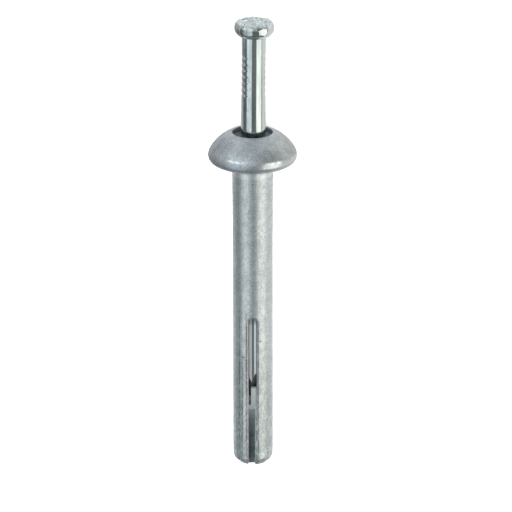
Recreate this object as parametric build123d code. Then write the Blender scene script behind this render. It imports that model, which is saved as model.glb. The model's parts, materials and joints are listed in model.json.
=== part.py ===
from build123d import *
import os
from math import asin, atan, atan2, cos, degrees, hypot, radians, sin, sqrt

os.makedirs("parts", exist_ok=True)

# Sizes are in millimetres. The anchor is shaped standing on its axis: Z runs
# toward the pin's head, zero is the flat underside of the mushroom head, and
# the window and the grooves face -Y and +Y.

# Sleeve of the zinc body.
sleeve_dia = 6.35
neck_dia = 6.5
sleeve_length = 50.8
neck_taper_end = 15.0
end_chamfer_width = 0.9
end_chamfer_height = 0.9
end_rounding = 1.0

# Mushroom head.
mushroom_dia = 14.1
mushroom_height = 5.0
rim_under_radius = 1.15
rim_over_radius = 1.8
dome_radius = 6.4
mouth_dia = 6.38
mouth_depth = 1.0
mouth_cone_height = 0.8
edge_softening = 0.12

# Bore and the openings that let the lower end spread.
bore_clearance = 0.13
bore_point_length = 3.5
bore_point_radius = 0.5
split_length = 13.4
window_length = 11.8
window_width = 1.2
web_length = 3.0
web_recess = 0.575
web_thickness = 2.2
web_flare_height = 0.75
web_flare_reach = 0.4
slit_width = 0.35
groove_width = 0.9
shoulder_height = 0.5
shoulder_rounding = 0.5
ramp_lead = 0.7
ramp_length = 5.4
lip_rounding = 0.28

# Steel drive pin, as far in as it is supplied.
pin_dia = 3.9
pin_exposed_length = 15.85
pin_tip_gap = 0.2
pin_point_length = 6.1
pin_point_turn = 2.5
pin_tip_width = 0.4
pin_head_dia = 6.4
pin_head_band = 0.15
pin_head_top_dia = 5.5
pin_head_crown = 0.12
pin_head_offset = 0.1
grip_mark_count = 7
grip_mark_pitch = 1.03
grip_mark_first = 3.3
grip_mark_radius = 0.3
grip_mark_depth = 0.11
grip_mark_reach = 62.0
pin_touch_spare = 0.02

# Reach of a cut beyond the surface that it opens, and how near the sleeve's
# surface an edge's middle must be to count as lying on it.
overshoot = 1.0
surface_slack = 0.04

sleeve_radius = sleeve_dia / 2
mushroom_radius = mushroom_dia / 2
mouth_radius = mouth_dia / 2
pin_radius = pin_dia / 2
bore_radius = pin_radius + bore_clearance
bore_top = mushroom_height - mouth_depth - mouth_cone_height
sill_depth = sleeve_length - split_length
bore_end_depth = sill_depth + bore_point_length
window_top_depth = sill_depth - window_length
web_end_depth = sill_depth + web_length
ramp_start_depth = web_end_depth + ramp_lead
ramp_end_depth = ramp_start_depth + ramp_length
cut_end_depth = sleeve_length + overshoot
web_floor_radius = sleeve_radius - web_recess
pin_head_base = mushroom_height + pin_exposed_length
pin_tip = -bore_end_depth + pin_tip_gap
pin_flats_top = pin_tip + pin_point_length


def point_at(centre, radius, angle):
    return (centre[0] + radius * cos(angle), centre[1] + radius * sin(angle))


def arc_between(centre, radius, start, end):
    return CenterArc(centre, radius, degrees(start), degrees(end - start))


def dome_centre(rim_centre):
    """Centre of the arc that touches the rim's rounding and ends at the mouth."""
    to_rim = dome_radius - rim_over_radius
    across = mouth_radius - rim_centre[0]
    up = mushroom_height - rim_centre[1]
    reach = hypot(across, up)
    along = (to_rim ** 2 - dome_radius ** 2 + reach ** 2) / (2 * reach)
    aside = sqrt(to_rim ** 2 - along ** 2)
    across, up = across / reach, up / reach
    return (
        rim_centre[0] + along * across - aside * up,
        rim_centre[1] + along * up + aside * across,
    )


def mushroom_outline():
    under_centre = (mushroom_radius - rim_under_radius, rim_under_radius)
    over_centre = (mushroom_radius - rim_over_radius, rim_under_radius)
    crown_centre = dome_centre(over_centre)
    meet = atan2(over_centre[1] - crown_centre[1], over_centre[0] - crown_centre[0])
    mouth = atan2(mushroom_height - crown_centre[1], mouth_radius - crown_centre[0])
    return [
        arc_between(under_centre, rim_under_radius, radians(-90), 0),
        arc_between(over_centre, rim_over_radius, 0, meet),
        arc_between(crown_centre, dome_radius, meet, mouth),
    ]


def turned(outline, soft_corners=()):
    """Solid of revolution from a closed outline of radius and height."""
    face = make_face(outline)
    for corner, radius in soft_corners:
        nearest = face.vertices().sort_by_distance((corner[0], corner[1], 0))[0]
        face = fillet(nearest, radius)
    return revolve(Plane.XZ * face, axis=Axis.Z)


def body_blank():
    end_face_radius = sleeve_radius - end_chamfer_width
    end_corner = (sleeve_radius, -sleeve_length + end_chamfer_height)
    under_flat = (mushroom_radius - rim_under_radius, 0)
    mouth_edge = (mouth_radius, mushroom_height)
    lower = Polyline(
        (0, -bore_end_depth),
        (0, -sleeve_length),
        (end_face_radius, -sleeve_length),
        end_corner,
        (sleeve_radius, -neck_taper_end),
        (neck_dia / 2, 0),
        under_flat,
    )
    inner = Polyline(
        mouth_edge,
        (mouth_radius, mushroom_height - mouth_depth),
        (bore_radius, bore_top),
        (bore_radius, -sill_depth),
        (bore_point_radius, -bore_end_depth),
        (0, -bore_end_depth),
    )
    outline = lower.edges() + mushroom_outline() + inner.edges()
    soft = [
        (end_corner, end_rounding),
        ((neck_dia / 2, 0), edge_softening),
        (mouth_edge, edge_softening),
    ]
    return turned(outline, soft)


def slot_front_view():
    """Outline of the slot seen square on: window, web channel, then groove."""
    half = window_width / 2
    round_centre = -window_top_depth - half
    right = groove_width - half
    shoulder = (half, -web_end_depth)
    foot = (right, -web_end_depth - shoulder_height)
    top = CenterArc((0, round_centre), half, 0, 180)
    rest = Polyline(
        (-half, round_centre),
        (-half, -cut_end_depth),
        (right, -cut_end_depth),
        foot,
        shoulder,
        (half, round_centre),
    )
    face = make_face(top.edges() + rest.edges())
    for corner in (shoulder, foot):
        nearest = face.vertices().sort_by_distance((corner[0], corner[1], 0))[0]
        face = fillet(nearest, shoulder_rounding)
    return face


def slot_side_view():
    """How deep the slot goes: through to the bore, then down to its floors."""
    top = -window_top_depth + overshoot
    outside = -sleeve_radius - overshoot
    web_side = -web_thickness / 2
    flared_side = web_side - web_flare_reach
    side = Polyline(
        (0, top),
        (0, -sill_depth),
        (-web_floor_radius, -sill_depth),
        (-web_floor_radius, -ramp_start_depth),
        (web_side, -ramp_end_depth),
        (web_side, web_flare_height - sleeve_length),
        (flared_side, -sleeve_length),
        (flared_side, -cut_end_depth),
        (outside, -cut_end_depth),
        (outside, top),
        close=True,
    )
    return make_face(side.edges())


def front_slot():
    seen_front = extrude(Plane.XZ * slot_front_view(), sleeve_dia)
    seen_side = extrude(Plane.YZ * slot_side_view(), window_width, both=True)
    return seen_front & seen_side


def front_slit():
    """Thin gap beside the web, opening upward into the bore."""
    deep = web_floor_radius - web_thickness / 2 + overshoot
    block = Box(slit_width, deep, web_length, align=(Align.MIN, Align.MAX, Align.MAX))
    return Pos(-window_width / 2, -web_thickness / 2, -sill_depth) * block


def lip_edges(body):
    """Edges where the slots' walls meet the round of the sleeve."""
    chamfer_top = end_chamfer_height + end_rounding - sleeve_length
    found = []
    for edge in body.edges():
        middle = edge @ 0.5
        on_round = abs(hypot(middle.X, middle.Y) - sleeve_radius) < surface_slack
        if on_round and chamfer_top < middle.Z < -neck_taper_end:
            found.append(edge)
    return found


def make_body():
    front = front_slot() + front_slit()
    body = body_blank() - front - Rot(Z=180) * front
    return fillet(lip_edges(body), lip_rounding)


def pin_head():
    bulge = pin_head_dia / 2 - pin_radius
    under_centre = (pin_radius, pin_head_base + bulge)
    over_centre = (pin_radius, under_centre[1] + pin_head_band)
    top_angle = radians(90) - asin((pin_head_top_dia / 2 - pin_radius) / bulge)
    shoulder = point_at(over_centre, bulge, top_angle)
    crown_radius = (shoulder[0] ** 2 + pin_head_crown ** 2) / (2 * pin_head_crown)
    crown_top = shoulder[1] + pin_head_crown
    crown_centre = (0, crown_top - crown_radius)
    crown_edge = radians(90) - asin(shoulder[0] / crown_radius)
    outline = [
        Line((0, pin_head_base), (pin_radius, pin_head_base)),
        arc_between(under_centre, bulge, radians(-90), 0),
        Line(point_at(under_centre, bulge, 0), point_at(over_centre, bulge, 0)),
        arc_between(over_centre, bulge, 0, top_angle),
        arc_between(crown_centre, crown_radius, crown_edge, radians(90)),
        Line((0, crown_top), (0, pin_head_base)),
    ]
    return Pos(pin_head_offset, 0, 0) * turned(outline)


def pin_shank():
    """Round shank that ends in a blunt point with four flats."""
    reach = pin_head_base - pin_tip + pin_radius / 4
    rod = Cylinder(pin_radius, reach, align=(Align.CENTER, Align.CENTER, Align.MIN))
    slope = (pin_radius - pin_tip_width / 2) / pin_point_length
    wide = pin_tip_width + 2 * slope * reach
    sections = Sketch() + [
        Rectangle(pin_tip_width, pin_tip_width),
        Pos(0, 0, reach) * Rectangle(wide, wide),
    ]
    point = Rot(Z=45 - pin_point_turn) * loft(sections)
    return Pos(0, 0, pin_tip) * (rod & point)


def grip_marks():
    """Rings set off to one side, so that each bites there and fades round the shank."""
    offset = grip_mark_depth / (1 - cos(radians(grip_mark_reach)))
    ring_radius = pin_radius + offset - grip_mark_depth + grip_mark_radius
    ring = Torus(ring_radius, grip_mark_radius)
    marks = []
    for number in range(grip_mark_count):
        height = pin_head_base - grip_mark_first - number * grip_mark_pitch
        marks += [Pos(-offset, 0, height) * ring, Pos(offset, 0, height) * ring]
    return marks


def pin_lean():
    """Lean of the pin that takes up its play in the bore."""
    guided = bore_top - pin_flats_top
    return degrees(atan(2 * (bore_clearance - pin_touch_spare) / guided))


def make_pin():
    pin = pin_shank() + pin_head()
    for mark in grip_marks():
        pin -= mark
    middle = (bore_top + pin_flats_top) / 2
    return Pos(0, 0, middle) * Rot(Y=pin_lean()) * Pos(0, 0, -middle) * pin


def resting_place():
    """Lie the anchor on the mushroom's rim and the lips at the lower end."""
    lip_half = groove_width / 2 + lip_rounding
    tip_height = -sleeve_length + end_chamfer_height + end_rounding / 2
    tip_reach = sqrt(sleeve_radius ** 2 - lip_half ** 2)
    rim_height = rim_under_radius
    rim_reach = mushroom_radius - rim_under_radius
    along = rim_height - tip_height
    out = rim_reach - tip_reach
    tilt = atan2(out, along) + asin(rim_under_radius / hypot(along, out))
    lift = tip_reach * cos(tilt) - tip_height * sin(tilt)
    return Pos(0, 0, lift) * Rot(X=-90 + degrees(tilt))


place = resting_place()
body = place * make_body()
pin = place * make_pin()
extent = body.bounding_box().add(pin.bounding_box())
to_centre = Pos(-extent.center().X, -extent.center().Y, -extent.min.Z)
export_step(to_centre * body, "parts/anchor_body.step")
export_step(to_centre * pin, "parts/drive_pin.step")
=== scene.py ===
import json
import math
import bpy
import bmesh
from mathutils import Matrix, Vector, kdtree, noise


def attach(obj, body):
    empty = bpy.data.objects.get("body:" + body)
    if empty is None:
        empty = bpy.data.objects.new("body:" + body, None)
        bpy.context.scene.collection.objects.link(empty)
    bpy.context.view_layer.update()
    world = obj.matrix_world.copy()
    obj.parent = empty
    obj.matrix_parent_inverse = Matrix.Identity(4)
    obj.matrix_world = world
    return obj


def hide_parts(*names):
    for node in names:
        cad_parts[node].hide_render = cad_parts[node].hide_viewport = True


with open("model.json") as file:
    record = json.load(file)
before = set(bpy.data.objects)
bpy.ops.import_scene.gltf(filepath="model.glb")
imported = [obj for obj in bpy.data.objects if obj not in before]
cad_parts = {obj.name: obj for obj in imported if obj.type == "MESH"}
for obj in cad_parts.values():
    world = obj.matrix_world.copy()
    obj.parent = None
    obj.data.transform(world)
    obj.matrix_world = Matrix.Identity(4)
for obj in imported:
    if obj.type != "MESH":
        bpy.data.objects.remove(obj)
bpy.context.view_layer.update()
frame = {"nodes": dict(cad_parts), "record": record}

millimetre = 0.001
print("frame loaded:", sorted(frame["nodes"]))


# the anchor's own directions, read from the sleeve's mounts

mounts = {mount["name"]: mount for mount in frame["record"]["mounts"]}
alongAxis = -Vector(mounts["shank"]["axis"]).normalized()  # toward the pin's head
underHead = Vector(mounts["bearing_face"]["pos_m"])
acrossAxis = Vector((1.0, 0.0, 0.0))
awayFromFloor = acrossAxis.cross(alongAxis).normalized()  # square to the axis, upward
headCentre = underHead - acrossAxis * underHead.x  # on the axis, at the mushroom's underside


def axisPoint(height):
    # a place on the axis, in millimetres above the underside of the mushroom
    return headCentre + alongAxis * height * millimetre


def aroundAxis(turn, rise):
    # a direction from the anchor: turned about its axis to the right, raised toward the pin
    flat = awayFromFloor * math.cos(turn) + acrossAxis * math.sin(turn)
    return flat * math.cos(rise) + alongAxis * math.sin(rise)


# camera

view = {
    "rise": 20.4,  # degrees above square to the axis, toward the pin's head
    "turn": 1.3,  # degrees round the axis, so that the window sits a little left
    "roll": -0.09,
    "distance": 0.95,  # metres
    "pixelsPerMillimetre": 6.302,
    "pixels": 512,
    "aimHeight": -15.96,  # millimetres above the underside of the mushroom
    "aimRight": 0.52,
    "sensor": 36.0,
    "clip": (0.05, 20.0),
}


def makeCamera():
    toCamera = aroundAxis(math.radians(view["turn"]), math.radians(view["rise"]))
    right = alongAxis.cross(toCamera).normalized()
    up = toCamera.cross(right)
    target = axisPoint(view["aimHeight"]) + right * view["aimRight"] * millimetre
    data = bpy.data.cameras.new("photoCamera")
    camera = bpy.data.objects.new("photoCamera", data)
    bpy.context.scene.collection.objects.link(camera)
    turned = Matrix((right, up, toCamera)).transposed().to_4x4()
    turned = turned @ Matrix.Rotation(math.radians(view["roll"]), 4, "Z")
    camera.matrix_world = Matrix.Translation(target + toCamera * view["distance"]) @ turned
    focalPixels = view["pixelsPerMillimetre"] * view["distance"] / millimetre
    data.sensor_width = view["sensor"]
    data.lens = focalPixels / view["pixels"] * view["sensor"]
    data.clip_start, data.clip_end = view["clip"]
    bpy.context.scene.camera = camera
    print("camera placed, lens", round(data.lens, 1))


makeCamera()


# shader helpers

class Value:
    # a number that changes over a surface; sums and products on it add Math nodes

    def __init__(self, maker, socket):
        self.maker = maker
        self.socket = socket

    def mathNode(self, operation, *others):
        links = dict(enumerate([self, *others]))
        node = self.maker.add("ShaderNodeMath", {"operation": operation}, links)
        return Value(self.maker, node.outputs[0])

    def __add__(self, other):
        return self.mathNode("ADD", other)

    def __mul__(self, other):
        return self.mathNode("MULTIPLY", other)

    def __sub__(self, other):
        return self.mathNode("SUBTRACT", other)

    def __rsub__(self, other):
        return self.mathNode("MULTIPLY", -1.0).mathNode("ADD", other)

    def __truediv__(self, other):
        return self.mathNode("DIVIDE", other)

    def __pow__(self, other):
        return self.mathNode("POWER", other)

    __radd__ = __add__
    __rmul__ = __mul__

    def clamped(self):
        return self.mathNode("MAXIMUM", 0.0).mathNode("MINIMUM", 1.0)

    def rises(self, start, end):
        # 0 before start, 1 after end, smooth between
        settings = {"interpolation_type": "SMOOTHSTEP"}
        links = {"Value": self, "From Min": start, "From Max": end}
        node = self.maker.add("ShaderNodeMapRange", settings, links)
        return Value(self.maker, node.outputs["Result"])

    def falls(self, start, end):
        # 1 before start, 0 after end, smooth between
        return 1 - self.rises(start, end)

    def within(self, low, high, soft=0.1):
        # 1 between two limits, 0 beyond them; soft is half the width of each change
        return self.rises(low - soft, low + soft) * self.falls(high - soft, high + soft)


class Finish:
    # one material and its nodes

    def __init__(self, name):
        self.material = bpy.data.materials.new(name)
        self.material.use_nodes = True
        self.tree = self.material.node_tree
        self.tree.nodes.clear()
        output = self.add("ShaderNodeOutputMaterial")
        self.shader = self.add("ShaderNodeBsdfPrincipled")
        self.tree.links.new(self.shader.outputs["BSDF"], output.inputs["Surface"])

    def add(self, kind, settings=None, links=None):
        node = self.tree.nodes.new(kind)
        for name, setting in (settings or {}).items():
            setattr(node, name, setting)
        for name, link in (links or {}).items():
            self.feed(node.inputs[name], link)
        return node

    def feed(self, socket, link):
        if isinstance(link, Value):
            link = link.socket
        if isinstance(link, bpy.types.NodeSocket):
            self.tree.links.new(link, socket)
        else:
            socket.default_value = link

    def set(self, **inputs):
        for name, link in inputs.items():
            self.feed(self.shader.inputs[name], link)

    def attribute(self, name):
        node = self.add("ShaderNodeAttribute", {"attribute_name": name})
        return Value(self, node.outputs["Fac"])

    def mixed(self, share, first, second, blend="MIX"):
        settings = {"data_type": "RGBA", "blend_type": blend}
        node = self.add("ShaderNodeMix", settings)
        sockets = [socket for socket in node.inputs if socket.enabled]
        for socket, link in zip(sockets, (share, first, second)):
            self.feed(socket, link)
        return [socket for socket in node.outputs if socket.enabled][0]

    def bump(self, height, depth, strength, under=None):
        # depth in millimetres
        links = {"Height": height, "Distance": depth * millimetre, "Strength": strength}
        if under is not None:
            links["Normal"] = under
        return self.add("ShaderNodeBump", links=links).outputs["Normal"]


class MetalFinish(Finish):
    # a finish that knows where on the anchor each point lies, in millimetres

    def __init__(self, name):
        super().__init__(name)
        place = self.add("ShaderNodeTexCoord").outputs["Object"]
        subtract = {"operation": "SUBTRACT"}
        self.fromHead = self.add("ShaderNodeVectorMath", subtract, {0: place, 1: headCentre})
        self.along = self.measured(alongAxis)
        self.across = self.measured(acrossAxis)
        self.upward = self.measured(awayFromFloor)
        self.offAxis = (self.across * self.across + self.upward * self.upward) ** 0.5

    def measured(self, direction):
        links = {0: self.fromHead.outputs["Vector"], 1: direction}
        node = self.add("ShaderNodeVectorMath", {"operation": "DOT_PRODUCT"}, links)
        return Value(self, node.outputs["Value"]) / millimetre

    def pattern(self, lumps, detail, roughness, drawn=1.0):
        # noise with so many lumps to a millimetre; drawn under 1 draws it out along the axis
        links = {0: self.across, 1: self.upward, 2: self.along * drawn}
        place = self.add("ShaderNodeCombineXYZ", links=links).outputs["Vector"]
        links = {"Vector": place, "Scale": lumps, "Detail": detail, "Roughness": roughness}
        node = self.add("ShaderNodeTexNoise", {"noise_dimensions": "3D"}, links)
        return Value(self, node.outputs["Fac"])


def colour(red, green, blue):
    return (red, green, blue, 1.0)


# the die-cast zinc body

zinc = {
    # the skin, and what lies on it
    "pale": colour(0.71, 0.74, 0.74),
    "dull": colour(0.46, 0.49, 0.51),
    # dark, for bruises and folds, and as painted shade along the slot's lips
    "bruiseAndShade": colour(0.16, 0.18, 0.19),
    # light: rubbed metal on scratches and flecks, and painted light and highlights on the web, the
    # collar and the rim
    "rubbedAndPaintedLight": colour(0.86, 0.88, 0.88),
    "dust": colour(0.22, 0.24, 0.24),  # grey dust in the bore

    # casts, multiplied into the skin; those of the groove and the mouth are painted shade in those
    # recesses
    "headCast": colour(0.79, 0.81, 0.85),
    "lavender": colour(1.05, 1.0, 1.0),
    "teal": colour(0.94, 1.0, 1.01),
    "cream": colour(1.0, 1.0, 0.93),
    "lowCast": colour(0.80, 0.82, 0.81),
    # painted shade on the floor of the groove, deep in the slot
    "groovePaintedShade": colour(0.55, 0.57, 0.59),
    # painted shade inside the mouth of the hole in the mushroom
    "mouthPaintedShade": colour(0.36, 0.37, 0.38),

    # patterns: lumps to a millimetre, detail, roughness, and how far they are drawn out
    "grain": (6.2, 2.0, 0.6),
    "blotches": (0.9, 4.0, 0.65),
    "clouds": (0.33, 2.0, 0.5),
    "streaks": (2.6, 3.0, 0.6, 0.04),
    "flecks": (3.6, 2.0, 0.6, 0.35),

    # where on a pattern's scale from 0 to 1 each mark begins and is full
    "dulling": (0.425, 0.575),
    "clouding": (0.36, 0.64),
    "blotching": (0.34, 0.56),
    "wearing": (0.35, 0.49),
    "flecking": (0.5, 0.64),

    # how much of each mark shows
    "grainShare": 0.65,  # of the dulling, beside the blotches
    "cloudShare": 0.15,
    "headClouds": 0.25,
    "headGrain": 1.1,
    # painted shade along the slot's lips, less on the left than on the right
    "leftLipShade": 0.35,
    "rightLipShade": 0.85,
    "foldLeast": 0.4,  # of a fold or of a lip's painted shade, between the blotches
    "scratchLeast": 0.2,  # of a scratch, on the blotches
    "foldAndLipShadeShare": 0.66,
    "bruiseShare": 0.8,
    "scratchShare": 0.38,
    "fleckShare": 0.5,
    "collarHighlightShare": 0.5,
    # painted highlight: how much the rim is lightened where its highlights fall
    "rimHighlightShare": 0.55,
    "underRimShare": 0.55,

    # how rough, and the bumps as depth in millimetres and strength
    "roughness": 0.42,
    "grainRoughness": 0.25,
    "dullRoughness": 0.05,
    "wornSmoothness": 0.24,  # where handling has rubbed an edge
    "boreRoughness": 0.4,
    "boreDust": 0.85,
    "streakBump": (0.03, 0.7),
    "grainBump": (0.02, 1.0),
    "wornGrain": 0.8,  # how much of the grain is gone where an edge is rubbed
    "bruiseBump": (0.08, 0.8),
    "foldDepth": 0.6,  # as a share of a bruise's

    # heights above the underside of the mushroom, in millimetres; of two numbers the zone
    # fades from one to the other, and of three it lies between two, faded by the third
    "sleeve": (-0.6, 0.4),
    # a painted highlight round the neck, just under the mushroom, on the front
    "collarHighlight": (-2.0, -1.3, 0.2),
    "lowEnd": (-44.0, -27.0),
    "slotTop": -26.2,  # the middle of the slot's round top
    "lips": (-50.6, -25.0, 0.1),
    "bore": (-41.4, -36.5, 0.1),
    "webStart": (-44.0, -38.5),
    "webEnd": (-37.45, -37.35),
    "groove": (-49.0, -43.5),
    "mouth": (1.0, 4.04, 0.04),
    "rim": (1.76, 2.04, 0.1),
    "rimSlant": 0.04,
    "underRim": (0.95, 1.7, 0.2),  # the rim's lower side

    # distances from the axis, or for the lips from the slot's middle
    "lipBand": (0.55, 0.98, 0.06),
    "sleeveRound": (2.6, 2.9),
    "webFace": (1.7, 2.75, 0.04),
    "grooveFloor": (1.5, 2.3),
    "boreWall": (2.4, 2.5),
    "mouthWall": (3.1, 3.18),
    "rimRound": (6.0, 6.3),

    # places across, the right positive, and how far a point is raised off the axis
    "front": (0.0, 0.5),
    "lipChange": (-0.1, 0.1),
    "webHalf": (0.6, 0.7),
    # across the rim: where it is smoothed as if worn and lightened as a painted highlight
    "rimWearAndHighlight": [(-3.7, -0.8, 0.6), (1.6, 4.7, 0.5)],
    "underRimRight": (0.6, 2.2),
    "lavenderBands": [(-1.6, -0.35, 0.25)],
    "tealBands": [(-2.9, -1.9, 0.2), (-0.3, 0.75, 0.25)],
    "creamRight": (1.5, 4.8),

    # small marks on the front: across, height, half width, half height
    "bruises": [
        (1.24, -29.4, 0.2, 0.09),
        (-1.5, -32.1, 0.32, 0.12),
        (-1.98, -19.6, 0.11, 0.12),
        (0.05, -2.8, 0.13, 0.13),
        (1.63, -10.7, 0.1, 0.09),
    ],
    "scratches": [
        (-1.33, -29.6, 0.15, 4.2),
        (-1.28, -39.5, 0.12, 9.0),
        (-1.92, -35.5, 0.08, 12.0),
        (1.62, -20.4, 0.06, 2.1),
    ],
    "folds": [
        (-2.12, -36.5, 0.11, 15.0),
        (-1.66, -41.0, 0.1, 9.0),
        (-1.0, -36.5, 0.1, 13.0),
    ],
    "markEdge": (0.5, 1.3),  # where a mark fades, as the square of a share of its half size
}


def spots(finish, marks):
    # 1 inside any of the listed ellipses, 0 outside
    total = 0.0
    for sideways, height, wide, tall in marks:
        aside = (finish.across - sideways) / wide
        beyond = (finish.along - height) / tall
        total = (aside * aside + beyond * beyond).falls(*zinc["markEdge"]) + total
    return total.clamped()


def bands(place, limits):
    return sum(place.within(*limit) for limit in limits)


def zincZones(finish):
    # the parts of the casting, each 1 where it is and 0 elsewhere
    along, across, offAxis = finish.along, finish.across, finish.offAxis
    sleeve = along.falls(*zinc["sleeve"])
    front = finish.upward.rises(*zinc["front"])
    sleeveRound = offAxis.rises(*zinc["sleeveRound"])
    overTop = (along - zinc["slotTop"]).mathNode("MAXIMUM", 0.0)
    fromSlot = (across * across + overTop * overTop) ** 0.5
    rimRound = offAxis.rises(*zinc["rimRound"])
    rim = (along + across * zinc["rimSlant"]).within(*zinc["rim"]) * rimRound
    underRim = along.within(*zinc["underRim"]) * rimRound
    # the web's face, lightened with the rubbed colour as painted light where the slot's walls
    # shade it
    web = along.rises(*zinc["webStart"]) * along.falls(*zinc["webEnd"])
    web = web * across.mathNode("ABSOLUTE").falls(*zinc["webHalf"])
    zones = {
        "sleeve": sleeve,
        "head": 1 - sleeve,
        "front": front,
        "frontSleeve": sleeve * front,
        "sleeveRound": sleeveRound,
        # where painted shade darkens the slot's rounded lips
        "lips": fromSlot.within(*zinc["lipBand"]) * along.within(*zinc["lips"]) * sleeveRound,
        "rim": rim * bands(across, zinc["rimWearAndHighlight"]),
        "underRim": underRim * across.rises(*zinc["underRimRight"]),
        "collarHighlight": along.within(*zinc["collarHighlight"]) * front,
        "mouth": along.within(*zinc["mouth"]) * offAxis.falls(*zinc["mouthWall"]),
        "bore": along.within(*zinc["bore"]) * offAxis.falls(*zinc["boreWall"]),
        "web": web * offAxis.within(*zinc["webFace"]),
        "groove": along.falls(*zinc["groove"]) * offAxis.falls(*zinc["grooveFloor"]),
        "lowEnd": along.falls(*zinc["lowEnd"]),
    }
    for marks in ("bruises", "scratches", "folds"):
        zones[marks] = spots(finish, zinc[marks]) * zones["frontSleeve"]
    return zones


def zincMarks(finish, zones, grain, blotches):
    # what dulls, darkens or brightens the skin, with painted light and shade among it
    clouds = finish.pattern(*zinc["clouds"]).rises(*zinc["clouding"])
    blotched = blotches.rises(*zinc["blotching"])
    mottled = blotches * (1 - zinc["grainShare"]) + grain * zinc["grainShare"]
    dulled = mottled.rises(*zinc["dulling"]) * (1 - zinc["cloudShare"])
    dulled = dulled + clouds * zinc["cloudShare"]
    headDulled = (clouds - 0.5) * zinc["headClouds"] + (grain - 0.5) * zinc["headGrain"]
    lipChange = finish.across.rises(*zinc["lipChange"])
    # painted shade along the slot's lips, stronger on the right
    lips = zones["lips"] * (lipChange * (zinc["rightLipShade"] - zinc["leftLipShade"]) + zinc["leftLipShade"])
    foldShown = blotched * (1 - zinc["foldLeast"]) + zinc["foldLeast"]
    # the rim: smoother as if worn, and lightened as a painted highlight where its highlights fall
    wornAndHighlight = zones["rim"] * blotches.rises(*zinc["wearing"])
    wornAndHighlight = (wornAndHighlight + zones["underRim"] * zinc["underRimShare"]).clamped()
    scratched = zones["scratches"] * (1 + zinc["scratchLeast"] - blotched).clamped()
    flecked = finish.pattern(*zinc["flecks"]).rises(*zinc["flecking"])
    flecked = flecked * zones["lowEnd"] * zones["front"] * zones["sleeveRound"]
    rubbedAndPaintedLight = scratched * zinc["scratchShare"] + flecked * zinc["fleckShare"]
    # painted highlights on the collar and the rim
    rubbedAndPaintedLight = rubbedAndPaintedLight + zones["collarHighlight"] * zinc["collarHighlightShare"] + wornAndHighlight * zinc["rimHighlightShare"]
    return {
        "dulled": (dulled + headDulled * zones["head"]).clamped(),
        "foldedAndLipShade": (zones["folds"] + lips) * foldShown,
        "bruised": zones["bruises"],
        "wornAndHighlight": wornAndHighlight,
        # the web takes painted light
        "rubbedAndPaintedLight": (rubbedAndPaintedLight + zones["web"]).clamped(),
    }


def zincShade(finish, zones, marks):
    shade = finish.mixed(marks["dulled"], zinc["pale"], zinc["dull"])
    casts = [
        (zones["head"], "headCast"),
        (zones["frontSleeve"] * bands(finish.across, zinc["lavenderBands"]), "lavender"),
        (zones["frontSleeve"] * bands(finish.across, zinc["tealBands"]), "teal"),
        (zones["head"] * finish.across.rises(*zinc["creamRight"]), "cream"),
        (zones["lowEnd"], "lowCast"),
        # painted shade on the groove's floor
        (zones["groove"], "groovePaintedShade"),
        # painted shade in the hole's mouth
        (zones["mouth"], "mouthPaintedShade"),
    ]
    for share, cast in casts:
        shade = finish.mixed(share, shade, zinc[cast], "MULTIPLY")
    covers = [
        # folds darken, and the slot's lips take painted shade
        (marks["foldedAndLipShade"] * zinc["foldAndLipShadeShare"], "bruiseAndShade"),
        (marks["bruised"] * zinc["bruiseShare"], "bruiseAndShade"),
        # rubbed places lighten, and so do the painted light and highlights
        (marks["rubbedAndPaintedLight"], "rubbedAndPaintedLight"),
        (zones["bore"], "dust"),
    ]
    for share, cover in covers:
        shade = finish.mixed(share, shade, zinc[cover])
    return shade


def zincFinish():
    finish = MetalFinish("zincAlloy")
    zones = zincZones(finish)
    grain = finish.pattern(*zinc["grain"])
    blotches = finish.pattern(*zinc["blotches"])
    streaks = finish.pattern(*zinc["streaks"])
    marks = zincMarks(finish, zones, grain, blotches)
    roughness = zinc["roughness"] + (grain - 0.5) * zinc["grainRoughness"]
    roughness = roughness + marks["dulled"] * zinc["dullRoughness"]
    roughness = roughness - marks["wornAndHighlight"] * zinc["wornSmoothness"]
    pressed = (marks["bruised"] + marks["foldedAndLipShade"] * zinc["foldDepth"]).clamped()
    kept = 1 - marks["wornAndHighlight"] * zinc["wornGrain"]
    normal = finish.bump(streaks * zones["sleeve"], *zinc["streakBump"])
    normal = finish.bump(grain * kept, *zinc["grainBump"], normal)
    normal = finish.bump(1 - pressed, *zinc["bruiseBump"], normal)
    finish.set(**{
        "Base Color": zincShade(finish, zones, marks),
        "Metallic": 1 - zones["bore"] * zinc["boreDust"],
        "Roughness": roughness + zones["bore"] * zinc["boreRoughness"],
        "Normal": normal,
    })
    return finish.material


def dress(node, material):
    mesh = frame["nodes"][node].data
    mesh.materials.clear()
    mesh.materials.append(material)
    print("dressed", node)


dress("anchor_body", zincFinish())


# the zinc-plated steel pin: its shank is the part's own, its head is beaten and frosted here

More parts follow.
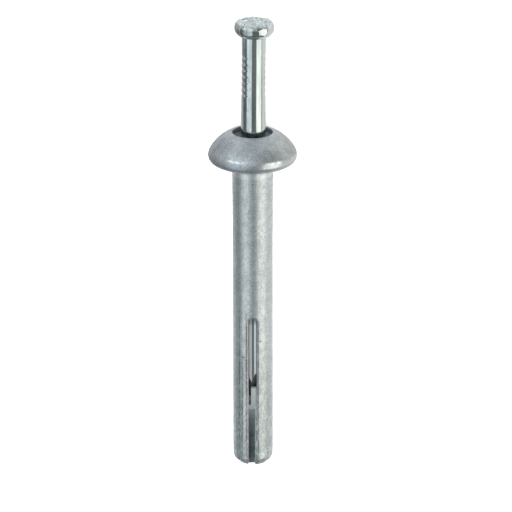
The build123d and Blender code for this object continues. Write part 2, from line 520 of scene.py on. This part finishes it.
hammeredPin = {
    # the head in millimetres, as in the source of the part
    "shankRadius": 1.95,
    "headRadius": 3.2,
    "band": 0.15,
    "topRadius": 2.75,
    "crown": 0.12,
    "offset": 0.1,

    # how the part's own pin is measured and mended
    "tipSlice": 0.05,
    "headSlice": 1.5,
    "weld": 0.001,
    "sameCorner": 0.004,
    "sharpFrom": 50,  # degrees between two faces
    "sameSide": 0.7,  # cosines between a face and the normals that it may take
    "roundSide": 0.9,

    # the rings of the new head, which starts on the shank, above the cut
    "cutBelow": 0.5,
    "shankRings": (0.7, 0.4, 0.15),  # as shares of cutBelow
    "around": 300,
    "underRings": 30,
    "overRings": 36,
    "topRings": 55,

    # the beaten top; layers are lumps to a millimetre and their share
    "lumps": [(0.9, 0.6), (2.1, 0.7), (4.3, 0.3)],
    "lumpStart": 0.28,
    "lumpDepth": 0.5,
    "drawnIn": 0.6,  # how much of a lump's depth goes inward on the head's edge
    "creases": [(1.9, 0.9), (3.9, 0.5)],
    "creaseWidth": 0.16,
    "creaseDepth": 0.35,
    "creaseShade": 0.7,  # how much painted shade a crease gets, and a lump that is pressed in past its half
    "lumpShade": 1.2,
    "beatenFrom": 0.885,  # how far up the head the beaten part begins, as a share of its height
    "beatenBy": 0.955,
    "beatenFade": 0.03,
    "ragged": [(1.3, 0.07), (3.6, 0.05)],

    # dents that bend the reflections on the smooth side
    "waves": [(0.8, 0.5), (1.9, 0.42)],
    "waveStart": 0.45,
    "waveDepth": 0.075,
    "waveFade": 0.6,

    # the grip marks: how deep they are, how far below the head they reach, and how many
    # degrees from the right-hand side they keep their depth there
    "markDepths": (0.006, 0.13),
    "marksReach": 12.0,
    "marksKept": 30.0,
    "marksGone": 43.0,
}

plating = {
    "bright": colour(0.64, 0.68, 0.67),
    "dull": colour(0.46, 0.51, 0.51),
    "frosted": colour(0.70, 0.77, 0.76),
    # painted shade down in the pits and creases of the beaten head
    "paintedPitShade": colour(0.29, 0.34, 0.35),
    # near black: painted shade on the point's flats deep in the bore, which are also dull and
    # rough as if dusty
    "dust": colour(0.045, 0.05, 0.05),
    "smudge": colour(0.24, 0.26, 0.27),
    # light: painted light on the pin in the window
    "rubbedAndPaintedLight": colour(0.88, 0.92, 0.92),
    # painted dark: a reflected dark line along the pin in the window, and shade under the window's
    # arch
    "windowPaintedDark": colour(0.13, 0.16, 0.17),

    # patterns and where on their scale a mark begins and is full, as for the zinc
    "streaks": (1.5, 3.0, 0.6, 0.1),
    "dulling": (0.38, 0.66),
    "grain": (5.2, 3.0, 0.6),
    "stains": (2.3, 3.0, 0.6, 0.4),
    "staining": (0.47, 0.66),
    "smudges": (1.5, 3.0, 0.6, 0.3),
    "smudging": (0.36, 0.54),

    # stains on the shank's left and grime on the head's: heights and places across
    "stainTop": (19.5, 20.1),
    "stainRight": (-0.3, 0.1),
    "smudgeFoot": (20.6, 21.2),
    "smudgeRight": (-0.9, -0.1),

    # what shows in the window, rougher as if rubbed by the sleeve and lightened as painted light,
    # with a painted dark reflected line along its middle and painted shade under the arch:
    # heights, distances from the axis and places across
    "rubbedTop": (-26.2, -25.8),
    "rubbedRound": (1.86, 1.91),
    "reflectedLineMiddle": 0.04,
    "reflectedLineHalf": (0.08, 0.18),
    "archShade": (-27.2, -26.4),
    "leftStrip": (-0.36, -0.14, 0.06),
    "rightStrip": (0.27, 0.58, 0.06),
    "pointTop": (-34.5, -34.0),
    "pointFlats": (1.84, 1.90),

    # how much of each mark shows
    "grainPits": 0.3,
    "stainShare": 0.4,
    "smudgeShare": 0.85,
    "windowPaintedDarkShare": 0.85,
    "archShadeShare": 0.6,
    "leftStripShare": 0.3,
    # how much less metallic the window's strips are, so that their pale colour shows as painted
    # bright bands
    "stripShine": 0.16,
    "dustShare": 0.85,

    # how rough, and the bumps as depth in millimetres and strength
    "roughness": 0.14,
    "streakRoughness": 0.1,
    "frostedRoughness": 0.34,
    "dustRoughness": 0.6,
    "smudgeRoughness": 0.12,
    "rubbedRoughness": 0.3,
    "stainBump": (0.003, 0.4),
    "frostBump": (0.02, 0.7),
}


def platingMarks(finish, beaten):
    # stains, grime, wear and dust, and the painted light, reflection and shade of the pin in the
    # window and on its point, each 1 where it is and 0 elsewhere
    along, across, offAxis = finish.along, finish.across, finish.offAxis
    stained = finish.pattern(*plating["stains"]).rises(*plating["staining"])
    stained = stained * along.falls(*plating["stainTop"]) * across.falls(*plating["stainRight"])
    smudged = finish.pattern(*plating["smudges"]).rises(*plating["smudging"]) * (1 - beaten)
    smudged = smudged * along.rises(*plating["smudgeFoot"]) * across.falls(*plating["smudgeRight"])
    # the pin in the window: rougher, and lightened as painted light
    rubbedAndPaintedLight = along.falls(*plating["rubbedTop"]) * offAxis.rises(*plating["rubbedRound"])
    # a painted dark reflected line along the pin's middle, and painted shade under the window's
    # arch
    fromReflectedLine = (across - plating["reflectedLineMiddle"]).mathNode("ABSOLUTE")
    archShade = along.rises(*plating["archShade"]) * plating["archShadeShare"]
    leftStrip = across.within(*plating["leftStrip"]) * plating["leftStripShare"]
    return {
        "stained": stained,
        "smudged": smudged,
        "rubbedAndPaintedLight": rubbedAndPaintedLight,
        "windowPaintedDark": (rubbedAndPaintedLight * (fromReflectedLine.falls(*plating["reflectedLineHalf"]) + archShade)).clamped(),
        "strips": rubbedAndPaintedLight * (leftStrip + across.within(*plating["rightStrip"])),
        # the point's flats in the bore: dull and rough, and near black as painted shade
        "dustAndShade": along.falls(*plating["pointTop"]) * offAxis.falls(*plating["pointFlats"]),
    }


def platingFinish():
    finish = MetalFinish("platedSteel")
    streaks = finish.pattern(*plating["streaks"])
    grain = finish.pattern(*plating["grain"])
    beaten = finish.attribute("beaten")
    marks = platingMarks(finish, beaten)
    shiny = finish.mixed(streaks.rises(*plating["dulling"]), plating["bright"], plating["dull"])
    # painted shade in the beaten head's pits
    paintedPitShade = (finish.attribute("paintedPitShade") + (grain - 0.5) * plating["grainPits"]).clamped()
    frosted = finish.mixed(paintedPitShade, plating["frosted"], plating["paintedPitShade"])
    shade = finish.mixed(beaten, shiny, frosted)
    covers = [
        (marks["stained"] * plating["stainShare"], "smudge"),
        (marks["smudged"] * plating["smudgeShare"], "smudge"),
        (marks["rubbedAndPaintedLight"], "rubbedAndPaintedLight"),
        (marks["windowPaintedDark"] * plating["windowPaintedDarkShare"], "windowPaintedDark"),
        (marks["dustAndShade"], "dust"),
    ]
    for share, cover in covers:
        shade = finish.mixed(share, shade, plating[cover])
    roughness = plating["roughness"] + (streaks - 0.5) * plating["streakRoughness"]
    roughness = roughness + beaten * (plating["frostedRoughness"] - plating["roughness"])
    roughness = roughness + marks["dustAndShade"] * plating["dustRoughness"]
    roughness = roughness + marks["smudged"] * plating["smudgeRoughness"]
    roughness = roughness + marks["rubbedAndPaintedLight"] * plating["rubbedRoughness"]
    dustless = 1 - marks["dustAndShade"] * plating["dustShare"]
    stainNormal = finish.bump(marks["stained"], *plating["stainBump"])
    finish.set(**{
        "Base Color": shade,
        "Metallic": dustless - marks["strips"] * plating["stripShine"],
        "Roughness": roughness,
        "Normal": finish.bump(grain * beaten, *plating["frostBump"], stainNormal),
    })
    return finish.material


def headRings():
    # radius and height over the head's base, from the base up and over to the middle
    size = hammeredPin
    bulge = size["headRadius"] - size["shankRadius"]
    topTurn = math.acos((size["topRadius"] - size["shankRadius"]) / bulge)
    rings = []
    for step in range(size["underRings"] + 1):
        turn = math.radians(90) * (step / size["underRings"] - 1)
        radius = size["shankRadius"] + bulge * math.cos(turn)
        rings.append((radius, bulge + bulge * math.sin(turn)))
    for step in range(size["overRings"] + 1):
        turn = topTurn * step / size["overRings"]
        radius = size["shankRadius"] + bulge * math.cos(turn)
        height = bulge + size["band"] + bulge * math.sin(turn)
        rings.append((radius, height))
    for step in range(1, size["topRings"]):
        share = 1 - step / size["topRings"]
        rings.append((size["topRadius"] * share, height + size["crown"] * (1 - share ** 2)))
    return rings, height + size["crown"]


def pinAxis(places):
    # the pin leans a little in its bore: its axis runs from its tip to the shank under its head
    heights = [(place - headCentre).dot(alongAxis) for place in places]
    lowest, top = min(heights), max(heights)
    tipTop = lowest + hammeredPin["tipSlice"] * millimetre
    headFoot = top - hammeredPin["headSlice"] * millimetre
    atTip = [place for place, height in zip(places, heights) if height < tipTop]
    tip = sum(atTip, Vector()) / len(atTip)
    head = [place for place, height in zip(places, heights) if height > headFoot]
    low = Vector(min(place[axis] for place in head) for axis in range(3))
    high = Vector(max(place[axis] for place in head) for axis in range(3))
    offset = acrossAxis * hammeredPin["offset"] * millimetre
    middle = tip + alongAxis * (top - lowest)
    middle += acrossAxis * ((low + high) / 2 - offset - middle).dot(acrossAxis)
    return tip, (middle - tip).normalized()


class LeaningPin:
    # how the pin leans: its tip, axis and directions, and how far above the tip its head begins

    def __init__(self, mesh):
        places = [vertex.co.copy() for vertex in mesh.verts]
        self.tip, self.axis = pinAxis(places)
        self.right = (acrossAxis - self.axis * acrossAxis.dot(self.axis)).normalized()
        self.front = self.right.cross(self.axis)
        self.rings, self.tall = headRings()
        top = max(self.height(place) for place in places)
        self.headBase = top - self.tall * millimetre
        self.cut = self.headBase - hammeredPin["cutBelow"] * millimetre

    def height(self, place):
        return (place - self.tip).dot(self.axis)

    def outward(self, place):
        # from the axis to a place
        return place - self.tip - self.axis * self.height(place)


def between(low, number, high):
    return max(low, min(high, number))


def layered(place, layers):
    total = 0.0
    for scale, share in layers:
        total += noise.noise(place * scale + Vector((scale, 0, 7))) * share
    return total


def beatenShare(place, share):
    # 0 on the smooth side of the head, 1 where the hammer has marked it, with a ragged border
    start = hammeredPin["beatenFrom"] + layered(place, hammeredPin["ragged"])
    start = min(start, hammeredPin["beatenBy"])
    return between(0.0, (share - start) / hammeredPin["beatenFade"], 1.0)


def creased(place):
    # 0 on the faces that the hammer left, 1 down in the creases between them
    deepest = 0.0
    for scale, share in hammeredPin["creases"]:
        wave = noise.noise(place * scale + Vector((3, scale, 0)))
        near = max(0.0, 1 - abs(wave) / hammeredPin["creaseWidth"])
        deepest = max(deepest, share * near)
    return deepest


def pressedIn(place):
    # how deep a place is pressed in, and how much painted shade its pit gets, both from 0 to 1
    crease = creased(place)
    depth = hammeredPin["lumpStart"] - layered(place, hammeredPin["lumps"])
    depth = between(0.0, depth + crease * hammeredPin["creaseDepth"], 1.0)
    pitShade = crease * hammeredPin["creaseShade"] + (depth - 0.5) * hammeredPin["lumpShade"]
    return depth, between(0.0, pitShade, 1.0)


def dented(place, radius):
    # how far in the smooth side of the head is dented, in millimetres
    fade = between(0.0, (radius - hammeredPin["shankRadius"]) / hammeredPin["waveFade"], 1.0)
    wave = hammeredPin["waveStart"] + layered(place, hammeredPin["waves"])
    return hammeredPin["waveDepth"] * fade * max(0.0, wave)


def growRing(mesh, leaning, radius, height, offset):
    # one ring of the new head, in millimetres from the head's base
    beaten = mesh.verts.layers.float["beaten"]
    paintedPitShade = mesh.verts.layers.float["paintedPitShade"]
    ring = []
    for step in range(hammeredPin["around"]):
        turn = 2 * math.pi * step / hammeredPin["around"]
        local = Vector((radius * math.cos(turn), radius * math.sin(turn), height))
        share = beatenShare(local, height / leaning.tall)
        depth, pitShade = pressedIn(local) if share > 0 else (0.0, 0.0)
        depth *= share * hammeredPin["lumpDepth"]
        inward = dented(local, radius)
        if radius > hammeredPin["topRadius"]:
            inward += depth * hammeredPin["drawnIn"]
        outward = leaning.right * math.cos(turn) + leaning.front * math.sin(turn)
        place = leaning.tip + leaning.axis * (leaning.headBase + (height - depth) * millimetre)
        place += leaning.right * offset * millimetre + outward * (radius - inward) * millimetre
        vertex = mesh.verts.new(place)
        vertex[beaten] = share
        vertex[paintedPitShade] = pitShade
        ring.append(vertex)
    return ring


def growHead(mesh, leaning):
    # the head, ring by ring, from just above the cut to the middle of its top
    size = hammeredPin
    onHead = mesh.faces.layers.int["onHead"]
    rings = []
    for share in size["shankRings"]:
        rings.append(growRing(mesh, leaning, size["shankRadius"], -size["cutBelow"] * share, 0.0))
    for radius, height in leaning.rings:
        rings.append(growRing(mesh, leaning, radius, height, size["offset"]))
    for number, (lower, upper) in enumerate(zip(rings, rings[1:])):
        for step in range(size["around"]):
            after = (step + 1) % size["around"]
            face = mesh.faces.new((upper[step], upper[after], lower[after], lower[step]))
            face[onHead] = int(number >= len(size["shankRings"]) - 1)
    last = rings[-1]
    centre = mesh.verts.new(sum((vertex.co for vertex in last), Vector()) / len(last))
    centre[mesh.verts.layers.float["beaten"]] = 1.0
    for step in range(size["around"]):
        face = mesh.faces.new((last[(step + 1) % size["around"]], last[step], centre))
        face[onHead] = 1
    return rings[0]


def joinToShank(mesh, leaning, rim, lowestRing):
    lowest = set(lowestRing)
    newRim = [edge for edge in mesh.edges if lowest.issuperset(edge.verts)]
    for face in bmesh.ops.bridge_loops(mesh, edges=rim + newRim)["faces"]:
        face.normal_update()
        if face.normal.dot(leaning.outward(face.calc_center_median())) < 0:
            face.normal_flip()


def fadeMarks(mesh, leaning):
    # the grip marks on the right end sooner than those on the left
    shallow, deep = hammeredPin["markDepths"]
    kept, gone = hammeredPin["marksKept"], hammeredPin["marksGone"]
    lowest = leaning.headBase - hammeredPin["marksReach"] * millimetre
    for vertex in mesh.verts:
        outward = leaning.outward(vertex.co)
        depth = hammeredPin["shankRadius"] - outward.length / millimetre
        marked = shallow < depth < deep and leaning.height(vertex.co) > lowest
        if marked and outward.dot(leaning.right) > 0:
            turn = math.degrees(outward.angle(leaning.right))
            share = between(0.0, (turn - kept) / (gone - kept), 1.0)
            vertex.co += outward.normalized() * depth * share * millimetre


def shankNormals(mesh):
    # the source's own normals, found by place, because cutting the mesh loses them
    tree = kdtree.KDTree(len(mesh.loops))
    for corner in mesh.loops:
        tree.insert(mesh.vertices[corner.vertex_index].co, corner.index)
    tree.balance()
    return tree, [normal.vector.copy() for normal in mesh.corner_normals]


def cornerNormal(face, place, shank, outward, plain):
    # the source's normal at this place, or else the round's, or a flat's own
    tree, normals = shank
    found = tree.find_range(place, hammeredPin["sameCorner"] * millimetre)
    near = [normals[index] for spot, index, gap in found]
    near = [normal for normal in near if normal.dot(face) > hammeredPin["sameSide"]]
    if near:
        return max(near, key=face.dot)
    return outward if outward.dot(face) > hammeredPin["roundSide"] else plain


def shadePin(data, leaning, shank):
    # the shank is as round as in the source; the head is shaded from its own faces
    for face in data.polygons:
        face.use_smooth = True
    data.set_sharp_from_angle(angle=math.radians(hammeredPin["sharpFrom"]))
    normals = [normal.vector.copy() for normal in data.corner_normals]
    onHead = data.attributes["onHead"].data
    for face in data.polygons:
        if onHead[face.index].value:
            continue
        for corner in face.loop_indices:
            place = data.vertices[data.loops[corner].vertex_index].co
            outward = leaning.outward(place).normalized()
            normals[corner] = cornerNormal(face.normal, place, shank, outward, normals[corner])
    data.normals_split_custom_set(normals)


def makeHammeredPin():
    source = frame["nodes"]["drive_pin"].data
    mesh = bmesh.new()
    mesh.from_mesh(source)
    bmesh.ops.remove_doubles(mesh, verts=mesh.verts, dist=hammeredPin["weld"] * millimetre)
    mesh.verts.layers.float.new("beaten")
    mesh.verts.layers.float.new("paintedPitShade")
    mesh.faces.layers.int.new("onHead")
    leaning = LeaningPin(mesh)
    everything = mesh.verts[:] + mesh.edges[:] + mesh.faces[:]
    plane = {"plane_co": leaning.tip + leaning.axis * leaning.cut, "plane_no": leaning.axis}
    bmesh.ops.bisect_plane(mesh, geom=everything, clear_outer=True, **plane)
    rim = [edge for edge in mesh.edges if edge.is_boundary]
    fadeMarks(mesh, leaning)
    lowestRing = growHead(mesh, leaning)
    joinToShank(mesh, leaning, rim, lowestRing)
    loose = sum(not edge.is_contiguous for edge in mesh.edges)
    print("hammered pin:", len(mesh.faces), "faces, edges without two faces that agree:", loose)

    data = bpy.data.meshes.new("hammeredPin")
    mesh.to_mesh(data)
    mesh.free()
    shadePin(data, leaning, shankNormals(source))
    data.materials.append(platingFinish())
    pin = bpy.data.objects.new("hammered_pin", data)
    bpy.context.scene.collection.objects.link(pin)
    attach(pin, "root")
    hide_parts("drive_pin")


makeHammeredPin()


# floor

floorPaint = {"reach": 3.0, "shade": colour(0.82, 0.82, 0.82), "roughness": 0.9}


def makeFloor():
    reach = floorPaint["reach"]
    mesh = bpy.data.meshes.new("studioFloor")
    corners = [(-reach, -reach, 0), (reach, -reach, 0), (reach, reach, 0), (-reach, reach, 0)]
    mesh.from_pydata(corners, [], [(0, 1, 2, 3)])
    floor = bpy.data.objects.new("studioFloor", mesh)
    bpy.context.scene.collection.objects.link(floor)
    finish = Finish("floorPaint")
    finish.set(**{"Base Color": floorPaint["shade"], "Roughness": floorPaint["roughness"]})
    mesh.materials.append(finish.material)
    print("floor laid")


makeFloor()


# soft lights, each a panel that the round metal shows as a band

lights = {
    "distance": 0.7,  # metres from the sleeve's middle to each panel
    "middle": -15,  # millimetres above the underside of the mushroom
    # each panel's turn and rise round the anchor, its width and height, all in degrees,
    # then its tint and its glow
    "panels": {
        "leftLow": (-39, -14, 46, 56, (0.86, 0.97, 1.0), 0.95),
        "leftHigh": (-44, 34, 52, 40, (0.93, 0.98, 1.0), 1.25),
        "right": (54.5, -8, 50, 60, (1.0, 1.0, 0.93), 1.4),
        "overhead": (5, 36, 30, 44, (0.95, 0.98, 1.0), 0.42),
        "beyondHead": (0, 78, 70, 34, (0.95, 0.98, 1.0), 0.5),
    },
    "washSize": 2.4,
    "washHeight": 1.6,
    "washWatts": 110.0,
    "surroundings": colour(0.19, 0.20, 0.20),
}


def spanned(degrees):
    # how long a panel is that spans an angle at its distance
    return 2 * lights["distance"] * math.tan(math.radians(degrees / 2))


def makeAreaLight(name, shape):
    data = bpy.data.lights.new(name, "AREA")
    data.shape = shape
    light = bpy.data.objects.new(name, data)
    bpy.context.scene.collection.objects.link(light)
    return light, data


def makePanel(name, turn, rise, wide, tall, tint, glow):
    direction = aroundAxis(math.radians(turn), math.radians(rise))
    light, data = makeAreaLight(name + "Panel", "RECTANGLE")
    data.size = spanned(wide)
    data.size_y = spanned(tall)
    data.energy = glow * data.size * data.size_y * math.pi
    data.color = tint
    across = alongAxis.cross(direction).normalized()
    turned = Matrix((across, direction.cross(across), direction)).transposed().to_4x4()
    middle = axisPoint(lights["middle"]) + direction * lights["distance"]
    light.matrix_world = Matrix.Translation(middle) @ turned


def makeLights():
    for name, panel in lights["panels"].items():
        makePanel(name, *panel)
    # a wide overhead wash that whitens the floor and stays out of the metal's reflections
    wash, data = makeAreaLight("floorWash", "SQUARE")
    data.size = lights["washSize"]
    data.energy = lights["washWatts"]
    wash.location = (0.0, 0.0, lights["washHeight"])
    wash.visible_glossy = False
    world = bpy.data.worlds.new("studio")
    bpy.context.scene.world = world
    world.use_nodes = True
    world.node_tree.nodes["Background"].inputs["Color"].default_value = lights["surroundings"]
    bpy.context.scene.view_settings.view_transform = "Standard"
    print("lights placed:", len(lights["panels"]) + 1)


makeLights()


# a grey card round the anchor's foot, out of the picture, that the metal mirrors
# in place of the white floor

greyCard = {
    # millimetres across from the axis, then how far along the frame the head's end begins,
    # then how light the card is past the tip, beside the sleeve and toward the head
    "columns": [
        (-420, -112, 0.02, 0.025, 0.26),
        (-105, -1, 0.03, 0.03, 0.27),
        (-50, 18, 0.05, 0.055, 0.28),
        (-24, 27, 0.08, 0.10, 0.29),
        (-14, 31, 0.10, 0.16, 0.31),
        (-8, 34, 0.11, 0.27, 0.33),
        (-4, 36, 0.12, 0.38, 0.34),
        (4, 37, 0.13, 0.38, 0.34),
        (10, 37, 0.14, 0.28, 0.34),
        (30, 37, 0.18, 0.26, 0.31),
        (420, 37, 0.25, 0.25, 0.25),
    ],
    # millimetres along the frame
    "foot": -420,
    "pastTip": -46,
    "beside": -39,
    "fade": 12,
    "far": 420,
    # heights over the floor: the card lies, and its left edge stands up as far as the head
    "lying": 0.4,
    "standing": 60,
    "roughness": 0.9,
}


def cardStops(head, pastTip, beside, towardHead):
    # how far along each row of one column lies, and how light it is; rows never cross
    return [
        (greyCard["foot"], pastTip),
        (min(greyCard["pastTip"], head - 2), pastTip),
        (min(greyCard["beside"], head - 1), beside),
        (head, beside),
        (head + greyCard["fade"], towardHead),
        (greyCard["far"], towardHead),
    ]


def cardFaces(columns, rows):
    faces = []
    for column in range(columns - 1):
        for row in range(rows - 1):
            first = column * rows + row
            besideHead = row >= rows - 3
            if column > 0 or not besideHead:
                faces.append((first, first + rows, first + rows + 1, first + 1))
    return faces


def makeGreyCard():
    places = []
    greys = []
    leftEdge = greyCard["columns"][0]
    heights = [greyCard["standing"]] + [greyCard["lying"]] * len(greyCard["columns"])
    for (across, *rest), height in zip([leftEdge] + greyCard["columns"], heights):
        stops = cardStops(*rest)
        places += [Vector((across, along, height)) * millimetre for along, grey in stops]
        greys += [grey for along, grey in stops]
    mesh = bpy.data.meshes.new("greyCard")
    mesh.from_pydata(places, [], cardFaces(len(heights), len(stops)))
    greyLayer = mesh.attributes.new("grey", "FLOAT", "POINT")
    greyLayer.data.foreach_set("value", greys)
    card = bpy.data.objects.new("greyCard", mesh)
    bpy.context.scene.collection.objects.link(card)
    finish = Finish("greyCardboard")
    finish.set(**{"Base Color": finish.attribute("grey"), "Roughness": greyCard["roughness"]})
    mesh.materials.append(finish.material)
    card.visible_camera = False
    card.visible_diffuse = False
    card.visible_shadow = False
    print("grey card placed")


makeGreyCard()
